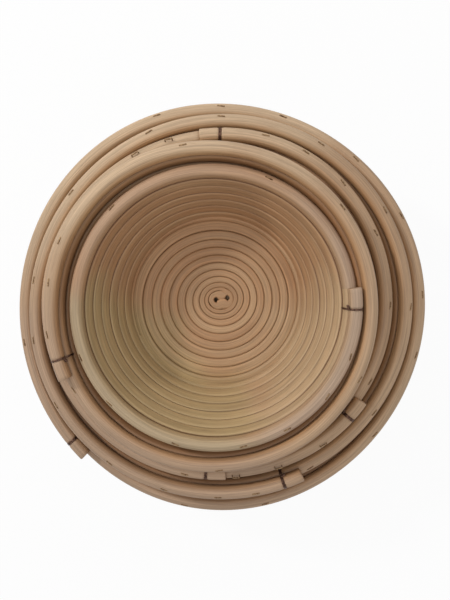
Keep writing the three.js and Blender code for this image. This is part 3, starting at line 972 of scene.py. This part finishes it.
loop, _, _ = wire_loop(BASKETS[1], BASKETS[1]["wires"][0])
print("the wire's loop is", round(np.linalg.norm(np.diff(loop, axis=0), axis=1).sum()), "mm long")

# %% [markdown]
# The three outer baskets have their wire laid twice, side by side, which shows as a wider dark
# band. The twisted ends start just above the loop and lie mostly along the rim, a little up and
# inwards. Each wire and its twisted ends are one piece.

# %% Tie the rims
STRANDS = {1: 2, 2: 2, 3: 2}
DOUBLE_THIN = 0.85
STRAND_GAP = 0.95
TWIST_THIN = 0.8
TWIST_UP, TWIST_IN = 0.6, 0.3
LIES_UP, LIES_IN, LIES_ALONG = 0.25, 0.4, 0.88


def tie_rim(basket):
    name = basket["name"]
    strands = STRANDS.get(basket["number"], 1)
    thick = WIRE_DIAMETER if strands == 1 else WIRE_DIAMETER * DOUBLE_THIN
    for i, angle in enumerate(basket["wires"]):
        suffix = f"_{i + 1}" if len(basket["wires"]) > 1 else ""
        loop, out, up = wire_loop(basket, angle)
        lengthwise = np.cross(up, out)
        tubes = [wire_tube(loop + lengthwise * thick * (k - (strands - 1) / 2) * STRAND_GAP, thick)
                 for k in range(strands)]
        start = loop[0] + up * TWIST_UP - out * TWIST_IN
        direction = up * LIES_UP - out * LIES_IN + lengthwise * LIES_ALONG
        for strand in twisted_ends(start, direction, out):
            tubes.append(wire_tube(strand, WIRE_DIAMETER * TWIST_THIN, sides=7))
        wire = mesh_piece(f"{name}_wire{suffix}", *joined(tubes))
        finish_piece(wire, basket, "tie_wire", iron, f"{name}_tie_wire{suffix}")
    print(name, "tied with", len(basket["wires"]), "wire(s)")


for basket in BASKETS.values():
    tie_rim(basket)

# %% [markdown]
# Short staples pin the rim every few centimetres. One is a flat strip bent to a bracket: the
# crown lies along the cane on its outer upper side, and the two legs go into the wood. Three
# straight bars would have hard corners. A row of sections swept round the two bends makes them
# round, as bent wire is.

# %% The staple's own shape
STAPLE_LENGTH = 5.0
STAPLE_WIDTH = 0.9
STAPLE_THICK = 0.55
STAPLE_LEG = 2.2
STAPLE_BEND = 0.5
STAPLE_CORNER = 0.15


def staple_path():
    half, leg, bend, corner = STAPLE_LENGTH / 2, STAPLE_LEG, STAPLE_BEND, STAPLE_CORNER
    return [(-half, -leg, 0.0), (-half, -bend, 0.0), (-half + corner, -corner, 0.25),
            (-half + bend, 0.0, 0.5), (half - bend, 0.0, 0.5), (half - corner, -corner, 0.75),
            (half, -bend, 1.0), (half, -leg, 1.0)]


def staple_tube(origin, lengthwise, side, outward):
    points = []
    for run, rise, lean in staple_path():
        normal = (lean - 0.5) * math.pi
        thick = lengthwise * math.sin(normal) + outward * math.cos(normal)
        for a, b in ((0.5, 0.5), (0.5, -0.5), (-0.5, -0.5), (-0.5, 0.5)):
            points.append(origin + lengthwise * run + outward * rise
                          + side * STAPLE_WIDTH * a + thick * STAPLE_THICK * b)
    return np.array(points), closed_tube_faces(len(staple_path()), 4)


print("a staple is", STAPLE_LENGTH, "mm long")

# %% [markdown]
# No two staples sit alike. Random numbers from a fixed seed turn each a little and lean it
# outward by its own amount. The staples of one basket are one piece, which stands for the
# basket's seven staple solids.

# %% Pin the rims
STAPLE_SEED = 70
STAPLE_LEAN = (10, 22)
STAPLE_SKEW = (-9, 9)
STAPLE_PROUD = 0.2


def pin_rim(basket):
    name = basket["name"]
    rng = np.random.default_rng(STAPLE_SEED + basket["number"])
    tubes = []
    for direction in basket["staples"]:
        angle = rim_angle(basket, direction)
        middle, across, along = (part[0] for part in coil_stand(basket, angle))
        ahead = coil_stand(basket, angle + 0.01)[0][0] - middle
        ahead /= np.linalg.norm(ahead)
        lean = math.radians(rng.uniform(*STAPLE_LEAN))
        skew = math.radians(rng.uniform(*STAPLE_SKEW))
        outward = across * math.sin(lean) + along * math.cos(lean)
        lengthwise = ahead * math.cos(skew) + np.cross(outward, ahead) * math.sin(skew)
        surface = (middle + across * CANE_ACROSS / 2 * math.sin(lean)
                   + along * CANE_ALONG / 2 * math.cos(lean))
        tubes.append(staple_tube(surface + outward * STAPLE_PROUD, lengthwise,
                                 np.cross(outward, lengthwise), outward))
    staples = mesh_piece(f"{name}_staples", *joined(tubes), soft_shading=False)
    finish_piece(staples, basket, "staple_steel", staple_steel,
                 *[f"{name}_staple_{i}" for i in range(1, 8)])
    print(name, "pinned with", len(basket["staples"]), "staples")


for basket in BASKETS.values():
    pin_rim(basket)

# %% [markdown]
# The nest stands on a plain white worktop. More light would make it white, but would bleach the
# cane as well. Its own colour is a light grey that takes the soft shadow, and what the camera
# and shiny things see of it is mostly plain white light. That comes from the kind of ray that
# looks at it, so the matt cane gets no extra light from it.

# %% The worktop
WORKTOP_HALF = 3.0
WORKTOP_GAP = 0.0002
WORKTOP_GREY = 0.85
WORKTOP_WHITE = 0.93
WHITE = (1.0, 1.0, 1.0, 1.0)


def seen_directly(bench):
    rays = bench.add("ShaderNodeLightPath").outputs
    seen = bench.reckon("ADD", rays["Is Camera Ray"], rays["Is Glossy Ray"])
    return bench.reckon("MINIMUM", bench.reckon("ADD", seen, rays["Is Transmission Ray"]), 1.0)


bench = new_material("white_worktop")
seen = bench.reckon("MULTIPLY", seen_directly(bench), WORKTOP_WHITE)
matt = bench.add("ShaderNodeBsdfDiffuse", {"Color": (WORKTOP_GREY,) * 3 + (1.0,)})
white = bench.add("ShaderNodeEmission", {"Color": WHITE, "Strength": 1.0})
mixed = bench.add("ShaderNodeMixShader", {0: seen, 1: matt.outputs[0], 2: white.outputs[0]})
bench.add("ShaderNodeOutputMaterial", {"Surface": mixed.outputs[0]})
corners = [(-1, -1, 0), (1, -1, 0), (1, 1, 0), (-1, 1, 0)]
worktop = mesh_piece("worktop", np.array(corners) * WORKTOP_HALF / MM, [[0, 1, 2, 3]], False)
worktop.location.z = -WORKTOP_GAP
worktop.data.materials.append(bench.owner)
print("worktop", 2 * WORKTOP_HALF, "m square")

# %% [markdown]
# The light is that of a bright room, soft from everywhere. A picture of a room would light the
# nest too, but three plain lamps are easier to steer. A small window at the upper left makes
# the upper left of each cane paler than its lower right. A wide second window behind and a lamp
# overhead open the shadows between the rims. The room looks white to the camera and to shiny
# things, and the baskets get a little under half of that.

# %% The room
ROOM_LIGHT = 0.46
room = bpy.data.worlds.new("bright_room")
bpy.context.scene.world = room
bench = Bench(room)
extra = bench.reckon("MULTIPLY", seen_directly(bench), 1.0 - ROOM_LIGHT)
sky = bench.add("ShaderNodeBackground", {"Color": WHITE,
                                         "Strength": bench.reckon("ADD", extra, ROOM_LIGHT)})
bench.add("ShaderNodeOutputWorld", {"Surface": sky.outputs[0]})
print("the room's own light:", ROOM_LIGHT)

# %% Three lamps
LAMP_DISTANCE = 1.5
LAMP_AIM = np.array([0.0, 0.0, 0.05])


def lamp(name, direction, height, size, power, colour=(1.0, 1.0, 1.0)):
    direction, height = math.radians(direction), math.radians(height)
    away = LAMP_DISTANCE * np.array([math.cos(height) * math.cos(direction),
                                     math.cos(height) * math.sin(direction), math.sin(height)])
    data = bpy.data.lights.new(name, "AREA")
    data.size = size
    data.energy = power
    data.color = colour
    light = bpy.data.objects.new(name, data)
    light.location = LAMP_AIM + away
    light.rotation_mode = "QUATERNION"
    light.rotation_quaternion = mathutils.Vector(-away).to_track_quat("-Z", "Y")
    bpy.context.scene.collection.objects.link(light)


lamp("window", 146, 37, 0.16, 7.7, (1.0, 0.99, 0.97))
lamp("second_window", 92, 25, 0.8, 3.0)
lamp("ceiling", 90, 88, 0.6, 5.0)
print("three lamps stand", LAMP_DISTANCE, "m from the nest")

# %% [markdown]
# The camera looks almost straight down, from half a metre above the worktop. It could be turned
# by hand until the picture fits, but the picture says more: the walls lean away from the point
# right below the lens. That point lies a little above and right of the picture's middle, which
# fixes how the camera is tilted.

# %% Camera
PICTURE_WIDE, PICTURE_TALL = 450, 600
FOCUS_IN_PIXELS = 600.0
BELOW_LENS = (244.5, 257)
SENSOR = 36.0
CAMERA_PLACE = (0.01664, 0.03972, 0.5004)
down_in_picture = np.array([(BELOW_LENS[0] - PICTURE_WIDE / 2) / FOCUS_IN_PIXELS,
                            (BELOW_LENS[1] - PICTURE_TALL / 2) / FOCUS_IN_PIXELS, 1.0])
up = -down_in_picture / np.linalg.norm(down_in_picture)
right = np.array([1.0, 0, 0]) - up * up[0]
right /= np.linalg.norm(right)
ahead = np.cross(up, right)
turned = mathutils.Matrix([(row[0], -row[1], -row[2]) for row in (right, ahead, up)])
camera_data = bpy.data.cameras.new("camera")
camera_data.sensor_width = SENSOR
camera_data.lens = SENSOR * FOCUS_IN_PIXELS / PICTURE_TALL
camera = bpy.data.objects.new("camera", camera_data)
camera.rotation_mode = "QUATERNION"
camera.rotation_quaternion = turned.to_quaternion()
camera.location = CAMERA_PLACE
bpy.context.scene.collection.objects.link(camera)
bpy.context.scene.camera = camera
bpy.context.scene.view_settings.view_transform = "Standard"
print("camera at", [round(v, 3) for v in camera.location])

# %% [markdown]
